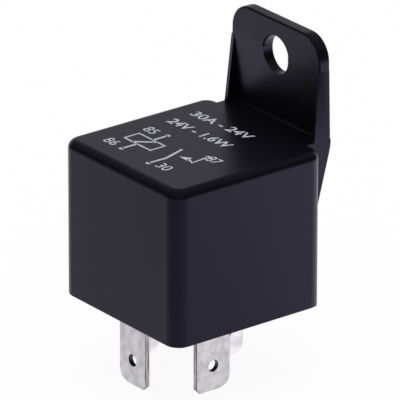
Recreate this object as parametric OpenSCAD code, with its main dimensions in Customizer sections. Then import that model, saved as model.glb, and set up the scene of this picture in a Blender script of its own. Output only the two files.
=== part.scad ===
// Four-terminal automotive relay with a moulded mounting tab.
// Seating plane at z = 0, blades below it, the tab behind (+Y) and above.

/* [Cover] */
// Side of the square cover
cover_side = 28; // [27:0.5:32]
// Height of the cover above its rim
cover_h = 25.1; // [24.5:0.1:32]
// Wall thickness
cover_wall = 1.2; // [0.8:0.1:1.5]
// Thickness of the roof
cover_roof = 1.4; // [0.8:0.1:1.8]
// Radius of the upright corners
corner_r = 2.4; // [1.6:0.1:4]
// Radius round the roof's edge
roof_r = 1.3; // [0.4:0.1:1.5]
// Ledge inside the wall that the base stops against
ledge = 0.2; // [0.1:0.05:0.4]

/* [Mounting tab] */
// Width of the tab
tab_w = 21.2; // [16:0.2:23]
// Thickness of the tab
tab_t = 2; // [1.6:0.1:3]
// Height of the tab above the roof
tab_rise = 16.1; // [13:0.1:22]
// Distance from the cover's back wall to the back of the tab
tab_stand = 3.6; // [3:0.1:6]
// Radius of the tab's top corners
tab_r = 4; // [2:0.1:5]
// Diameter of the fixing hole
hole_d = 6; // [4:0.1:8]
// Height of the hole's centre above the roof
hole_rise = 10.5; // [9:0.1:12]
// How far the gussets stand in front of the tab at the roof
gusset_depth = 1.1; // [0.6:0.1:2]
// Height of the gussets
gusset_h = 11; // [8:0.1:12]
// Thickness of a gusset along its edge
gusset_t = 0.6; // [0.4:0.1:1.2]
// How deep the tab is dished between the gussets at its root
dish_depth = 0.7; // [0.2:0.1:0.9]
// Width added to the tab on each side at its root
root_spread = 0.3; // [0:0.1:1]
// Thickness of the deck that joins the tab to the cover
deck_t = 1.2; // [0.8:0.1:2]
// Drop from the deck to where the ribs meet the wall
rib_drop = 13.6; // [8:0.2:18]
// Radius of the deck's outer corner, where the ribs start
deck_r = 8; // [2:0.5:9]
// Number of ribs under the deck
rib_count = 5; // [4:1:7]
// Thickness of each rib
rib_t = 1.2; // [0.8:0.1:1.4]

/* [Base] */
// Thickness of the base
base_t = 3.5; // [3:0.1:4.5]
// Play between the base and the cover
base_gap = 0.05; // [0.02:0.01:0.1]
// Play round each terminal in its slot
slot_gap = 0.05; // [0.02:0.01:0.15]

/* [Terminals] */
// Width of a blade
blade_w = 6.3; // [5.8:0.1:6.5]
// Thickness of a blade
blade_t = 0.8; // [0.6:0.05:1]
// Length of a blade below the rim
blade_len = 11.25; // [9:0.25:14]
// Diameter of the detent hole
detent_d = 1.8; // [1.4:0.1:2.2]
// Height of the detent hole above the tip
detent_up = 4.1; // [3:0.1:5]
// Radius of the large corner at a blade's tip
tip_r = 2.1; // [1:0.1:2.6]
// Small chamfer at a blade's tip
tip_nick = 0.8; // [0.3:0.1:1.2]
// Height of the bevels that thin the tip
tip_bevel = 0.7; // [0.3:0.1:1.2]
// Distance from the cover's front face to the middle of terminal 87
front_inset = 3; // [2.6:0.1:3.4]
// Distance from the cover's back face to the middle of terminal 30
back_inset = 7.8; // [7.2:0.1:8]
// Distance from the cover's side to the middle of terminal 85 or 86
side_inset = 5.5; // [5:0.1:5.8]
// Distance from terminal 87 back to the row of terminals 85 and 86
row_pitch = 8; // [7.6:0.1:8.4]
// Height of the shoulders that rest on the base
shoulder_h = 1; // [0.6:0.1:1.6]
// Width added to a terminal on each side at its shoulder
shoulder_w = 0.5; // [0.3:0.1:0.8]

/* [Magnet] */
// Thickness of the yoke
yoke_t = 2; // [1.6:0.1:2.2]
// Width of the yoke
yoke_w = 12.6; // [10:0.2:14]
// Room behind the yoke for the curl of the contact spring
spring_room = 1.8; // [1.6:0.1:2.4]
// Core's radius, as a share of the winding's
core_share = 0.38; // [0.32:0.01:0.44]
// How far the pole face stands out past the core
pole_lip = 1.8; // [1:0.1:2.2]
// Thickness of the pole face
pole_t = 1; // [0.8:0.1:1.6]
// How much smaller the core's riveted tail is in radius
tail_step = 1; // [0.6:0.1:1.2]

/* [Coil] */
// Room between the bobbin's flanges and the yoke
coil_gap = 0.9; // [0.4:0.1:1.4]
// How far the winding lies inside the flanges
winding_inset = 0.5; // [0.3:0.1:1.2]
// Thickness of the spool's tube
spool_t = 0.6; // [0.5:0.1:1.2]
// Thickness of the flanges
flange_t = 1; // [0.8:0.1:1.4]
// Thickness of the tape
tape_t = 0.12; // [0.08:0.02:0.2]
// Radius of the coil's wire
wire_r = 0.15; // [0.1:0.01:0.25]

/* [Armature] */
// Thickness of the armature
arm_t = 1.4; // [1:0.1:1.6]
// Width of the armature
arm_w = 10.4; // [8:0.2:10.8]
// Angle that the armature stands open
open_angle = 2.5; // [1.5:0.1:2.6]
// Gap left between the iron faces when closed
iron_gap = 0.05; // [0.03:0.01:0.1]
// Thickness of the contact spring
leaf_t = 0.3; // [0.2:0.05:0.4]
// Width of the contact spring
leaf_w = 6; // [5:0.2:6.4]
// Radius of the contacts
contact_r = 1.4; // [1:0.1:1.5]
// Thickness of each contact
contact_t = 0.9; // [0.6:0.1:1]
// Distance from terminal 87 back to the contacts
contact_reach = 2.1; // [1.9:0.1:2.6]
// Radius of the rivets' shanks
rivet_r = 0.6; // [0.4:0.05:0.8]
// Room between the back stop and the roof
head_room = 1.25; // [0.8:0.05:2]

/* [Hidden] */

$fn = 64;
cut = 1;                     // how far a cutting shape runs past the face it cuts
fit = 0.03;                  // play between pieces pressed or riveted together

// Cover and tab
wall_y = cover_side / 2;
inner_side = cover_side - 2 * cover_wall;
tab_back = wall_y + tab_stand;
tab_front = tab_back - tab_t;
tab_top = cover_h + tab_rise;
root_half = tab_w / 2 + root_spread;
root_fillet = 0.4;
deck_z = cover_h - deck_t;
tab_foot = cover_h - 0.1 * deck_t;   // the tab's sheet starts just inside the deck

// Terminals
row_87 = front_inset - wall_y;
row_30 = wall_y - back_inset;
coil_row = row_87 + row_pitch;
coil_row_x = wall_y - side_inset;
bend_r = 0.4;                // inside radius of every sheet-metal bend
stem_w = 5;                  // width of terminal 87 above its shoulder
tag_w = 1.6;                 // width of the tags that the coil's ends wrap
tag_rise = 1.8;              // height of the tags above the bobbin's lower flange
tip_thin = 0.25;             // share of the blade's thickness that each bevel takes

// Coil, between the contacts' arm in front and the yoke behind
arm_gap = 0.8;               // from terminal 87's arm to the bobbin's flange
yoke_back = wall_y - cover_wall - ledge - spring_room;
yoke_inside = yoke_back - yoke_t;
contact_y = row_87 + contact_reach;
flange_front = contact_y + contact_r + arm_gap;
flange_back = yoke_inside - coil_gap;
flange_r = (flange_back - flange_front) / 2;
coil_y = (flange_back + flange_front) / 2;
winding_r = flange_r - winding_inset;
core_r = core_share * winding_r;
pole_r = core_r + pole_lip;
tail_r = core_r - tail_step;
tube_r = core_r + fit + spool_t;

// Armature's back stop, under the roof
contact_clear = 1.1;         // from the fixed contact to the armature's front edge
arm_front = contact_y + contact_r + contact_clear;
stop_gap = 0.05;
stop_t = 1;
stop_w = 1.5;                // how far each stop reaches behind the armature's edge
lift = (yoke_back - arm_front) * sin(open_angle);
stop_z = cover_h - cover_roof - head_room - stop_t;

// Heights of the stack on the base
yoke_z = base_t + blade_t;
spool_z = yoke_z + yoke_t;
winding_z = spool_z + flange_t;
yoke_top = stop_z - stop_gap - lift - arm_t * cos(open_angle) - iron_gap;
pole_z = yoke_top - pole_t;
top_flange_z = pole_z - flange_t;
tag_top = winding_z + tag_rise;
lead_z = winding_z + 2 * wire_r;

// Core's riveted tail, and the foot of terminal 30 beside it
stake = 0.4;                 // how far the core's tail is spread by riveting
stake_t = 0.6;
foot_gap = 0.15;             // from the spread tail to the foot
yoke_reach = 4.6;            // how far the yoke runs in front of the coil's axis
yoke_front = coil_y - yoke_reach;
foot_front = coil_y + tail_r + stake + foot_gap;
foot_back = row_30 + blade_w / 2;
foot_reach = 5.2;            // length of the foot from the blade's middle
foot_rivet_x = 2.7;
foot_rivet_pitch = 2.4;
foot_rivets = [row_30 - foot_rivet_pitch / 2, row_30 + foot_rivet_pitch / 2];

// Armature and contacts, in their closed place unless swung
pivot_y = yoke_back;
pivot_z = yoke_top + iron_gap;
touch_gap = 0.03;            // left between the contacts at the end of the travel
arm_top = pivot_z + arm_t;
leaf_play = 0.01;            // between the armature and the leaf riveted to it
leaf_z = arm_top + leaf_play;        // underside of the leaf
arm_rivet_inset = 1.6;       // from the armature's front edge to its rivets
arm_rivet_y = arm_front + arm_rivet_inset;
arm_nose = 1.2;              // chamfer of the armature's front corners
rivet_x = 1.7;
head_r = 2 * rivet_r;
head_t = 0.5;
spread = 0.4;                // how far a contact's tail is riveted over
nose_rim = 0.6;              // leaf's metal round the moving contact
nose_r = contact_r + nose_rim;
lug_gap = 0.1;
fixed_top = leaf_z - contact_t - touch_gap;
plate_top = fixed_top - contact_t;   // top of terminal 87's bent arm

// Curl and tail of the contact spring
curl_r = 0.7;
curl_out = 0.3;              // how far behind the yoke the curl's centre stands
curl_drop = 3.4;             // from the yoke's top to where the leaf lies flat on its back
rivet_drop = 8;              // from the yoke's top to the spring rivets
leaf_tail = 1.8;             // leaf's metal under the spring rivets
spring_rivet_z = yoke_top - rivet_drop;
leaf_end_z = spring_rivet_z - leaf_tail;

// ---- helpers ----

function arc(centre, r, from, to, steps = 6) =
    [for (i = [0:steps]) let (a = from + (to - from) * i / steps)
        centre + r * [cos(a), sin(a)]];

function unit(v) = v / norm(v);

// Point at distance t beside point i of a path, on the mitre between its two segments.
function side_of(path, i, t) =
    let (n = len(path) - 1,
         before = unit(path[max(i, 1)] - path[max(i, 1) - 1]),
         after = unit(path[min(i, n - 1) + 1] - path[min(i, n - 1)]),
         mitre = unit(before + after))
    path[i] + t / (mitre * after) * [-mitre[1], mitre[0]];

// Outline of a sheet of thickness t that follows a path.
function sheet(path, t) = concat(
    [for (i = [0:len(path) - 1]) side_of(path, i, t / 2)],
    [for (i = [len(path) - 1:-1:0]) side_of(path, i, -t / 2)]);

// Extrudes a (y, z) outline along X, centred on x = 0.
module across_x(w) rotate([90, 0, 90]) linear_extrude(w, center = true) children();

// Extrudes an (x, z) outline along Y from one place to another.
module along_y(from, to) translate([0, to, 0]) rotate([90, 0, 0]) linear_extrude(to - from) children();

// Section of a block's side, from its corner's centre outwards, with a rounded top edge.
module edge_section(reach, h, edge) {
    difference() {
        square([reach, h]);
        if (edge > 0)
            translate([reach - edge, h - edge])
                difference() {
                    square(edge + cut);
                    circle(edge);
                }
    }
}

// Block on z = 0 with round upright corners and, if edge is given, a rounded top edge.
module round_block(w, d, h, corner, edge = 0) {
    x = w / 2 - corner;
    y = d / 2 - corner;
    translate([-x, -y, 0]) cube([2 * x, 2 * y, h]);
    for (side = [0, 1]) {
        mirror([side, 0, 0]) translate([x, 0, 0]) rotate([90, 0, 0])
            linear_extrude(2 * y, center = true) edge_section(corner, h, edge);
        mirror([0, side, 0]) translate([0, y, 0]) rotate([90, 0, 90])
            linear_extrude(2 * x, center = true) edge_section(corner, h, edge);
    }
    for (sx = [0, 1], sy = [0, 1])
        mirror([sx, 0, 0]) mirror([0, sy, 0]) translate([x, y, 0])
            rotate_extrude(angle = 90) edge_section(corner, h, edge);
}

// Turns what rides on the armature from its closed place to rest, with the front lifted.
module at_rest() {
    translate([0, pivot_y, pivot_z]) rotate([-open_angle, 0, 0])
        translate([0, -pivot_y, -pivot_z]) children();
}

// ---- cover ----

module tab_outline() {
    difference() {
        polygon([
            [-root_half, tab_foot], [root_half, tab_foot], [root_half, cover_h],
            [tab_w / 2, cover_h + gusset_h], [tab_w / 2, tab_top],
            [-tab_w / 2, tab_top], [-tab_w / 2, cover_h + gusset_h], [-root_half, cover_h]
        ]);
        for (side = [0, 1])
            mirror([side, 0]) translate([tab_w / 2 - tab_r, tab_top - tab_r])
                difference() {
                    square(tab_r + cut);
                    circle(tab_r);
                }
    }
}

// Gusset down each side of the tab, leaning forward to its root on the roof.
module gussets() {
    for (side = [0, 1])
        mirror([side, 0, 0])
            intersection() {
                along_y(tab_front - 2 * gusset_depth, tab_front + dish_depth)
                    polygon([
                        [root_half - gusset_t, deck_z], [root_half, deck_z], [root_half, cover_h],
                        [tab_w / 2, cover_h + gusset_h], [tab_w / 2 - gusset_t, cover_h + gusset_h]
                    ]);
                across_x(2 * tab_w)
                    polygon([
                        [tab_front - gusset_depth, deck_z], [tab_front - gusset_depth, cover_h],
                        [tab_front, cover_h + gusset_h], [tab_front + dish_depth, cover_h + gusset_h],
                        [tab_front + dish_depth, deck_z]
                    ]);
            }
}

// The dish between the gussets, deepest at the roof.
module dish() {
    across_x(tab_w - 2 * gusset_t)
        polygon([
            [tab_front - cut, cover_h], [tab_front + dish_depth, cover_h],
            [tab_front, cover_h + gusset_h], [tab_front - cut, cover_h + gusset_h]
        ]);
}

// Small fillet where the dished face meets the roof.
module foot_fillet() {
    across_x(tab_w - gusset_t)
        translate([tab_front + dish_depth, cover_h])
            difference() {
                translate([-root_fillet, -fit]) square([2 * root_fillet, root_fillet + fit]);
                translate([-root_fillet, root_fillet]) circle(root_fillet);
            }
}

// Deck that carries the tab, and the tapered ribs under it down the back wall.
module deck() {
    slope = atan(tab_stand / rib_drop);
    corner_turn = tan(slope / 2);
    r = min(deck_r, 0.9 * deck_t / corner_turn);
    inside = wall_y - cover_side / 4;
    pitch = (2 * root_half - rib_t) / (rib_count - 1);
    intersection() {
        across_x(2 * root_half)
            polygon(concat(
                [[inside, cover_h], [inside, deck_z - rib_drop], [wall_y, deck_z - rib_drop]],
                arc([tab_back - r, deck_z + r * corner_turn], r, -slope, 0),
                [[tab_back, cover_h]]));
        union() {
            translate([-root_half, wall_y - roof_r, deck_z])
                cube([2 * root_half, tab_stand + roof_r, deck_t]);
            for (i = [0:rib_count - 1])
                translate([-root_half + i * pitch, wall_y - cover_wall / 2, deck_z - rib_drop])
                    cube([rib_t, tab_stand + cover_wall / 2, rib_drop + deck_t / 2]);
        }
    }
}

module cover() {
    color("#2f2e38")
        difference() {
            union() {
                round_block(cover_side, cover_side, cover_h, corner_r, roof_r);
                deck();
                difference() {
                    along_y(tab_front, tab_back) tab_outline();
                    dish();
                }
                gussets();
                foot_fillet();
            }
            translate([0, 0, -cut])
                round_block(inner_side, inner_side, base_t + cut, corner_r - cover_wall / 2);
            round_block(inner_side - 2 * ledge, inner_side - 2 * ledge, cover_h - cover_roof,
                corner_r - cover_wall / 2);
            translate([0, tab_back + cut, cover_h + hole_rise]) rotate([90, 0, 0])
                cylinder(d = hole_d, h = tab_t + 2 * cut);
        }
}

// ---- base ----

// Slot for a terminal, with its long side along X, or along Y when turned.
module slot(turned) {
    long = blade_w + 2 * slot_gap;
    short = blade_t + 2 * slot_gap;
    translate([0, 0, base_t / 2])
        cube([turned ? short : long, turned ? long : short, base_t + 2 * cut], center = true);
}

module base() {
    side = inner_side - 2 * base_gap;
    color("#26252c")
        difference() {
            round_block(side, side, base_t, corner_r - cover_wall / 2 - base_gap);
            translate([0, row_87, 0]) slot(false);
            for (side = [-1, 1]) translate([side * coil_row_x, coil_row, 0]) slot(true);
            translate([0, row_30, 0]) slot(true);
            // room for terminal 30's bend and the rivet heads under its foot
            translate([-blade_t / 2 - slot_gap, foot_front - slot_gap, base_t - 2 * bend_r])
                cube([blade_t + 2 * bend_r + slot_gap, foot_back - foot_front + 2 * slot_gap, 2 * bend_r + cut]);
            for (y = foot_rivets)
                translate([foot_rivet_x, y, base_t - head_t - slot_gap])
                    cylinder(r = head_r + slot_gap, h = head_t + cut);
        }
}

// ---- terminals ----

// Blade with its width along X and its tip down, from the tip to the given height.
module blade(top) {
    half = blade_w / 2;
    thin = blade_t * (0.5 - tip_thin);
    difference() {
        intersection() {
            along_y(-blade_t / 2, blade_t / 2)
                difference() {
                    polygon([
                        [-half, -blade_len], [half - tip_nick, -blade_len],
                        [half, tip_nick - blade_len], [half, top], [-half, top]
                    ]);
                    translate([tip_r - half, tip_r - blade_len]) rotate(180)
                        difference() {
                            square(tip_r + cut);
                            circle(tip_r);
                        }
                }
            across_x(blade_w + 2 * cut)
                polygon([
                    [-thin, -blade_len], [thin, -blade_len],
                    [blade_t / 2, tip_bevel - blade_len], [blade_t / 2, top],
                    [-blade_t / 2, top], [-blade_t / 2, tip_bevel - blade_len]
                ]);
        }
        translate([0, blade_t, detent_up - blade_len]) rotate([90, 0, 0])
            cylinder(d = detent_d, h = 2 * blade_t);
    }
}

// Shoulder that rests on the base and stops the terminal from being pushed in or out.
module shoulder() {
    w = blade_w + 2 * shoulder_w;
    translate([-w / 2, -blade_t / 2, base_t]) cube([w, blade_t, shoulder_h]);
}

module terminal_30() {
    bend = [blade_t / 2 + bend_r, base_t - bend_r];
    path = concat([[0, bend[1] - fit]], arc(bend, bend[0], 180, 90), [[foot_reach, yoke_z - blade_t / 2]]);
    color("#c8c6c8")
        difference() {
            union() {
                translate([0, row_30, 0]) rotate(-90) blade(base_t - bend_r);
                along_y(foot_front, foot_back) polygon(sheet(path, blade_t));
            }
            for (y = foot_rivets)
                translate([foot_rivet_x, y, yoke_z]) cylinder(r = rivet_r + fit, h = 3 * blade_t, center = true);
        }
}

// Coil terminal, which ends in a tag beside the winding.
module coil_terminal(side) {
    color("#c8c6c8")
        translate([side * coil_row_x, coil_row, 0]) rotate(-90) {
            blade(base_t);
            shoulder();
            translate([-tag_w / 2, -blade_t / 2, base_t])
                cube([tag_w, blade_t, tag_top - base_t]);
        }
}

module terminal_85() coil_terminal(1);
module terminal_86() coil_terminal(-1);

module terminal_87() {
    bend = [row_87 + blade_t / 2 + bend_r, plate_top - blade_t - bend_r];
    path = concat(
        [[row_87, base_t]], arc(bend, bend_r + blade_t / 2, 180, 90),
        [[contact_y + contact_r, plate_top - blade_t / 2]]);
    color("#c8c6c8")
        difference() {
            union() {
                translate([0, row_87, 0]) {
                    blade(base_t);
                    shoulder();
                }
                across_x(stem_w) polygon(sheet(path, blade_t));
            }
            translate([0, contact_y, plate_top]) cylinder(r = rivet_r + fit, h = 3 * blade_t, center = true);
        }
}

// ---- magnet ----

module yoke() {
    bend = [yoke_inside - bend_r, spool_z + bend_r];
    path = concat(
        [[yoke_front, yoke_z + yoke_t / 2]], arc(bend, bend_r + yoke_t / 2, -90, 0, 8),
        [[yoke_back - yoke_t / 2, yoke_top]]);
    lug_w = (yoke_w - arm_w) / 2 - lug_gap;
    color("#8d8f94")
        difference() {
            union() {
                across_x(yoke_w) polygon(sheet(path, yoke_t));
                // a lug at each side keeps the armature in line
                for (side = [0, 1])
                    mirror([side, 0, 0])
                        translate([yoke_w / 2 - lug_w, yoke_back - yoke_t, yoke_top])
                            cube([lug_w, yoke_t, arm_t]);
            }
            translate([0, coil_y, yoke_z - cut]) cylinder(r = tail_r + fit, h = yoke_t + 2 * cut);
            for (y = foot_rivets)
                translate([foot_rivet_x, y, yoke_z - cut]) cylinder(r = rivet_r + fit, h = yoke_t + 2 * cut);
            for (x = [-rivet_x, rivet_x])
                translate([x, yoke_back + cut, spring_rivet_z]) rotate([90, 0, 0])
                    cylinder(r = rivet_r + fit, h = yoke_t + 2 * cut);
        }
}

// Core with a pole face on top and a tail riveted under the yoke.
module core() {
    color("#9a9ca1")
        translate([0, coil_y, 0]) rotate_extrude()
            polygon([
                [0, yoke_z - stake_t], [tail_r, yoke_z - stake_t], [tail_r + stake, yoke_z - stake_t / 2],
                [tail_r + stake, yoke_z], [tail_r, yoke_z], [tail_r, spool_z], [core_r, spool_z],
                [core_r, pole_z], [pole_r, pole_z], [pole_r, yoke_top - bend_r / 2],
                [pole_r - bend_r / 2, yoke_top], [0, yoke_top]
            ]);
}

// Hooked post at each front corner of the top flange: the armature's back stop.
module back_stop() {
    inside = arm_w / 2 + lug_gap;
    depth = arm_front - flange_front + stop_w;
    translate([inside, flange_front, top_flange_z])
        cube([flange_r - inside, depth, stop_z + stop_t - top_flange_z]);
    translate([inside - stop_t, flange_front, stop_z]) cube([flange_r - inside + stop_t, depth, stop_t]);
}

module bobbin() {
    color("#e9e4d4")
        difference() {
            union() {
                translate([0, coil_y, spool_z]) cylinder(r = tube_r, h = pole_z - spool_z);
                for (z = [spool_z, top_flange_z])
                    translate([0, coil_y, z]) round_block(2 * flange_r, 2 * flange_r, flange_t, 2 * flange_t);
                for (side = [0, 1]) mirror([side, 0, 0]) back_stop();
            }
            translate([0, coil_y, spool_z - cut]) cylinder(r = core_r + fit, h = pole_z - spool_z + 2 * cut);
        }
}

module ring(inner, outer, from, to) {
    translate([0, coil_y, from])
        difference() {
            cylinder(r = outer, h = to - from);
            translate([0, 0, -cut]) cylinder(r = inner, h = to - from + 2 * cut);
        }
}

module coil_winding() {
    color("#a8552b") ring(tube_r + fit, winding_r, winding_z + fit, top_flange_z - fit);
}

module coil_tape() {
    color("#d8b23c")
        ring(winding_r + fit, winding_r + fit + tape_t, lead_z + 4 * wire_r, top_flange_z - fit);
}

// End of the coil's wire: straight out from the winding, then two turns round the tag.
module coil_lead(side) {
    turn_r = norm([tag_w, blade_t]) / 2 + 1.3 * wire_r;
    beside = abs(coil_row - coil_y) - wire_r;
    start = sqrt(winding_r * winding_r - beside * beside) + fit;
    tag_x = coil_row_x;
    color("#b86a35")
        mirror([side < 0 ? 1 : 0, 0, 0]) translate([0, coil_row, lead_z]) {
            translate([start, 0, 0]) rotate([0, 90, 0]) cylinder(r = wire_r, h = tag_x - turn_r - start);
            for (turn = [0, 1])
                translate([tag_x, 0, 1.8 * turn * wire_r])
                    rotate_extrude() translate([turn_r, 0]) circle(wire_r);
        }
}

module coil_lead_85() coil_lead(1);
module coil_lead_86() coil_lead(-1);

// Cap of solder over the tag's end, above the wrapped turns.
module solder_joint(side) {
    r = norm([tag_w, blade_t]) / 2 + 2 * wire_r;
    foot = lead_z + 3.2 * wire_r;
    color("#b9bcc2")
        translate([side * coil_row_x, coil_row, 0])
            difference() {
                translate([0, 0, tag_top - r / 2]) sphere(r);
                translate([-2 * r, -2 * r, foot - 4 * r]) cube(4 * r);
                translate([-blade_t / 2, -tag_w / 2, 0]) cube([blade_t, tag_w, tag_top]);
            }
}

module solder_joint_85() solder_joint(1);
module solder_joint_86() solder_joint(-1);

// ---- rivets and contacts ----

// Rivet along Z with its head's underside at z = 0 and its shank below.
module rivet(length, head) {
    translate([0, 0, -length]) cylinder(r = rivet_r, h = length);
    cylinder(r1 = head, r2 = 0.75 * head, h = head_t);
}

module terminal_rivets() {
    color("#a9abb0")
        for (y = foot_rivets)
            translate([foot_rivet_x, y, base_t]) mirror([0, 0, 1]) rivet(spool_z - base_t, head_r);
}

module armature_rivets() {
    color("#a9abb0") at_rest()
        for (x = [-rivet_x, rivet_x])
            translate([x, arm_rivet_y, leaf_z + leaf_t]) rivet(leaf_z + leaf_t - pivot_z, head_r);
}

module spring_rivets() {
    color("#a9abb0")
        for (x = [-rivet_x, rivet_x])
            translate([x, yoke_back + leaf_t, spring_rivet_z]) rotate([-90, 0, 0])
                rivet(yoke_t + leaf_t, head_r);
}

// Contact rivet with its face up at z = 0, riveted over under a sheet of thickness t.
module contact(t) {
    tail_head = rivet_r + spread;
    rotate_extrude()
        polygon([
            [0, 0], [0.7 * contact_r, 0], [contact_r, -0.25 * contact_t], [contact_r, -contact_t],
            [rivet_r, -contact_t], [rivet_r, -contact_t - t], [tail_head, -contact_t - t],
            [tail_head, -contact_t - t - head_t / 2], [rivet_r, -contact_t - t - head_t],
            [0, -contact_t - t - head_t]
        ]);
}

module fixed_contact() {
    color("#dcdde0") translate([0, contact_y, fixed_top]) contact(blade_t);
}

module moving_contact() {
    color("#dcdde0") at_rest()
        translate([0, contact_y, leaf_z - contact_t - leaf_play]) mirror([0, 0, 1]) contact(leaf_t + leaf_play);
}

// ---- armature ----

module armature() {
    half = arm_w / 2;
    color("#8d8f94") at_rest()
        difference() {
            translate([0, 0, pivot_z]) linear_extrude(arm_t)
                polygon([
                    [-half, pivot_y], [-half, arm_front + arm_nose], [arm_nose - half, arm_front],
                    [half - arm_nose, arm_front], [half, arm_front + arm_nose], [half, pivot_y]
                ]);
            for (x = [-rivet_x, rivet_x])
                translate([x, arm_rivet_y, pivot_z - cut]) cylinder(r = rivet_r + fit, h = arm_t + 2 * cut);
        }
}

// Point of the armature's closed place, in (y, z), at the angle of rest.
function swung(p) =
    let (d = p - [pivot_y, pivot_z], c = cos(open_angle), s = sin(open_angle))
    [pivot_y, pivot_z] + [d[0] * c + d[1] * s, d[1] * c - d[0] * s];

// Leaf that lies on the armature, curls over the yoke's edge and runs down its back.
module contact_spring() {
    mid = leaf_t / 2;
    curl = [pivot_y + curl_out, leaf_z + mid - curl_r];
    path = concat(
        [swung([contact_y - nose_r, leaf_z + mid]), swung([pivot_y - curl_r, leaf_z + mid])],
        arc(curl, curl_r, 90, -20, 8),
        [[yoke_back + mid, yoke_top - curl_drop], [yoke_back + mid, leaf_end_z]]);
    color("#c08a4a")
        difference() {
            intersection() {
                across_x(leaf_w) polygon(sheet(path, leaf_t));
                linear_extrude(cover_h) {
                    translate([0, contact_y]) circle(nose_r);
                    translate([-nose_r, contact_y]) square([2 * nose_r, arm_front - contact_y]);
                    translate([-leaf_w, arm_front]) square([2 * leaf_w, cover_side]);
                }
            }
            at_rest() {
                translate([0, contact_y, leaf_z]) cylinder(r = rivet_r + fit, h = 4 * leaf_t, center = true);
                for (x = [-rivet_x, rivet_x])
                    translate([x, arm_rivet_y, leaf_z])
                        cylinder(r = rivet_r + fit, h = 4 * leaf_t, center = true);
            }
            for (x = [-rivet_x, rivet_x])
                translate([x, yoke_back, spring_rivet_z]) rotate([90, 0, 0])
                    cylinder(r = rivet_r + fit, h = 4 * leaf_t, center = true);
        }
}

cover();
base();
terminal_30();
terminal_85();
terminal_86();
terminal_87();
yoke();
core();
bobbin();
coil_winding();
coil_tape();
coil_lead_85();
coil_lead_86();
solder_joint_85();
solder_joint_86();
terminal_rivets();
fixed_contact();
armature();
armature_rivets();
moving_contact();
contact_spring();
spring_rivets();
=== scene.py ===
import math
import bmesh
import bpy
from mathutils import Matrix, Vector


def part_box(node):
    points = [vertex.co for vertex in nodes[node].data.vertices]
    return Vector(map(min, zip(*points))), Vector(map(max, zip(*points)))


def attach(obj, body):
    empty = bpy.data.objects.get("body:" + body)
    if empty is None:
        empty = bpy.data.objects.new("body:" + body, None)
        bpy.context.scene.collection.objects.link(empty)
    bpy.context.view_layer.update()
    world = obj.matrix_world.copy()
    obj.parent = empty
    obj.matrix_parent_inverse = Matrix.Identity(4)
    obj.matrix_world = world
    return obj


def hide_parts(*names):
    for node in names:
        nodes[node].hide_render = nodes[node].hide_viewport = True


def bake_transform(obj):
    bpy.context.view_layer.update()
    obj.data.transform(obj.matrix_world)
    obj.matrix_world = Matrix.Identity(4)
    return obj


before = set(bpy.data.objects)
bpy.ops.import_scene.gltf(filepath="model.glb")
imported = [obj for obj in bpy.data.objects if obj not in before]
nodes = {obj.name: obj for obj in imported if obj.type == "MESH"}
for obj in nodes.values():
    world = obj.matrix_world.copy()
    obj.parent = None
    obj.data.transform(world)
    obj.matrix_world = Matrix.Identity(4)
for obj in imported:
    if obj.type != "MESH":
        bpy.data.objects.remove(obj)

mm = 0.001
scene = bpy.context.scene
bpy.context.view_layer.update()      # the CAD box, before anything is added


def linear(code):                  # sRGB hex to the linear colour that nodes use
    parts = [int(code[i:i + 2], 16) / 255 for i in (1, 3, 5)]
    return [p / 12.92 if p <= 0.04045 else ((p + 0.055) / 1.055) ** 2.4 for p in parts] + [1]


def addNode(tree, kind, wires=None, **settings):
    node = tree.nodes.new(kind)
    for name, value in settings.items():
        setattr(node, name, value)
    for name, value in (wires or {}).items():
        socket = node.inputs[name]
        if isinstance(value, bpy.types.NodeSocket):
            tree.links.new(value, socket)
        else:
            socket.default_value = value
    return node


def newMaterial(name):
    material = bpy.data.materials.new(name)
    material.use_nodes = True
    tree = material.node_tree
    tree.nodes.clear()
    surface = addNode(tree, "ShaderNodeBsdfPrincipled")
    addNode(tree, "ShaderNodeOutputMaterial", {"Surface": surface.outputs[0]})
    place = addNode(tree, "ShaderNodeTexCoord").outputs["Object"]
    return material, tree, surface, place


def speckle(tree, place, size, detail=3, stretch=(1, 1, 1)):     # noise with a feature size in mm
    mapped = addNode(tree, "ShaderNodeMapping", {"Vector": place, "Scale": stretch})
    return addNode(tree, "ShaderNodeTexNoise", {
        "Vector": mapped.outputs[0], "Scale": 1 / (size * mm), "Detail": detail}).outputs[0]


def spread(tree, value, low, high, fromLow=0.3, fromHigh=0.7):   # noise remapped to a range
    return addNode(tree, "ShaderNodeMapRange", {
        "Value": value, "From Min": fromLow, "From Max": fromHigh, "To Min": low, "To Max": high}).outputs[0]


def blendColour(tree, factor, a, b):
    return addNode(tree, "ShaderNodeMix", {"Factor": factor, 6: a, 7: b}, data_type="RGBA").outputs[2]


def bumpFrom(tree, height, depth, strength=1.0, under=None):     # depth in mm
    wires = {"Height": height, "Distance": depth * mm, "Strength": strength}
    if under:
        wires["Normal"] = under
    return addNode(tree, "ShaderNodeBump", wires).outputs[0]


def addMesh(name, mesh):
    obj = bpy.data.objects.new(name, mesh)
    scene.collection.objects.link(obj)
    return obj


def finishPiece(obj, material, body, replaced=()):
    obj.data.materials.clear()
    obj.data.materials.append(material)
    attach(obj, body)
    if replaced:
        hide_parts(*replaced)


# Distance to weld over, and the degrees at which faces are one plane, an edge is sharp, and shading breaks
edges = {"weld": 0.002, "plane": 0.5, "sharp": 30, "crease": 40}


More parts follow.
